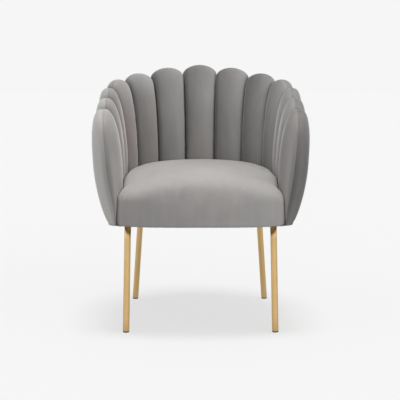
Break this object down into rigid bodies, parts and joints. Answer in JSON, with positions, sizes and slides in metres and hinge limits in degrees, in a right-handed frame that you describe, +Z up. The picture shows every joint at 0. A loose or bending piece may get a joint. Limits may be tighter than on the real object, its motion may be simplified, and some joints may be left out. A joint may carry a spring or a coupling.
{
  "type": "occasional chair",
  "caption": "Barrel-back occasional chair with padded velvet channels around a curved shell, one upholstered seat block and slender slanted metal tube legs.",
  "frame": {"origin": "on the floor, below the middle of the chair's box", "axes": "+Z up, the chair faces -Y, and +X is to the right seen from the front; left and right in the names are as seen from the front"},
  "size_m": [0.6256, 0.6343, 0.78],
  "materials": {
    "velvet": "short-pile grey velvet over foam, soft sheen",
    "plywood": "bare bent plywood",
    "timber": "planed, unfinished",
    "webbing": "woven elastic webbing",
    "felt": "needled felt",
    "dust_cloth": "black non-woven cloth",
    "brass_finish": "satin brass-coloured finish on tube and plate",
    "screw_steel": "zinc plated",
    "glide_nylon": "dark nylon"
  },
  "bodies": {
    "root": {"inner_channel_1": "velvet", "inner_channel_2": "velvet", "inner_channel_3": "velvet", "inner_channel_4": "velvet", "inner_channel_5": "velvet", "inner_channel_6": "velvet", "inner_channel_7": "velvet", "inner_channel_8": "velvet", "inner_channel_9": "velvet", "inner_channel_10": "velvet", "inner_channel_11": "velvet", "inner_channel_12": "velvet", "inner_channel_13": "velvet", "outer_channel_1": "velvet", "outer_channel_2": "velvet", "outer_channel_3": "velvet", "outer_channel_4": "velvet", "outer_channel_5": "velvet", "outer_channel_6": "velvet", "outer_channel_7": "velvet", "outer_channel_8": "velvet", "outer_channel_9": "velvet", "outer_channel_10": "velvet", "outer_channel_11": "velvet", "outer_channel_12": "velvet", "outer_channel_13": "velvet", "seat_pad": "velvet", "back_shell": "plywood", "front_rail": "timber", "left_side_rail": "timber", "right_side_rail": "timber", "back_rail": "timber", "front_corner_blocks": "timber", "rear_corner_blocks": "timber", "long_straps": "webbing", "cross_straps": "webbing", "seat_felt": "felt", "dust_cover": "dust_cloth", "front_left_leg": "brass_finish", "front_right_leg": "brass_finish", "rear_left_leg": "brass_finish", "rear_right_leg": "brass_finish", "front_left_plate": "brass_finish", "front_right_plate": "brass_finish", "rear_left_plate": "brass_finish", "rear_right_plate": "brass_finish", "leg_screws": "screw_steel", "glides": "glide_nylon"}
  },
  "joints": []
}
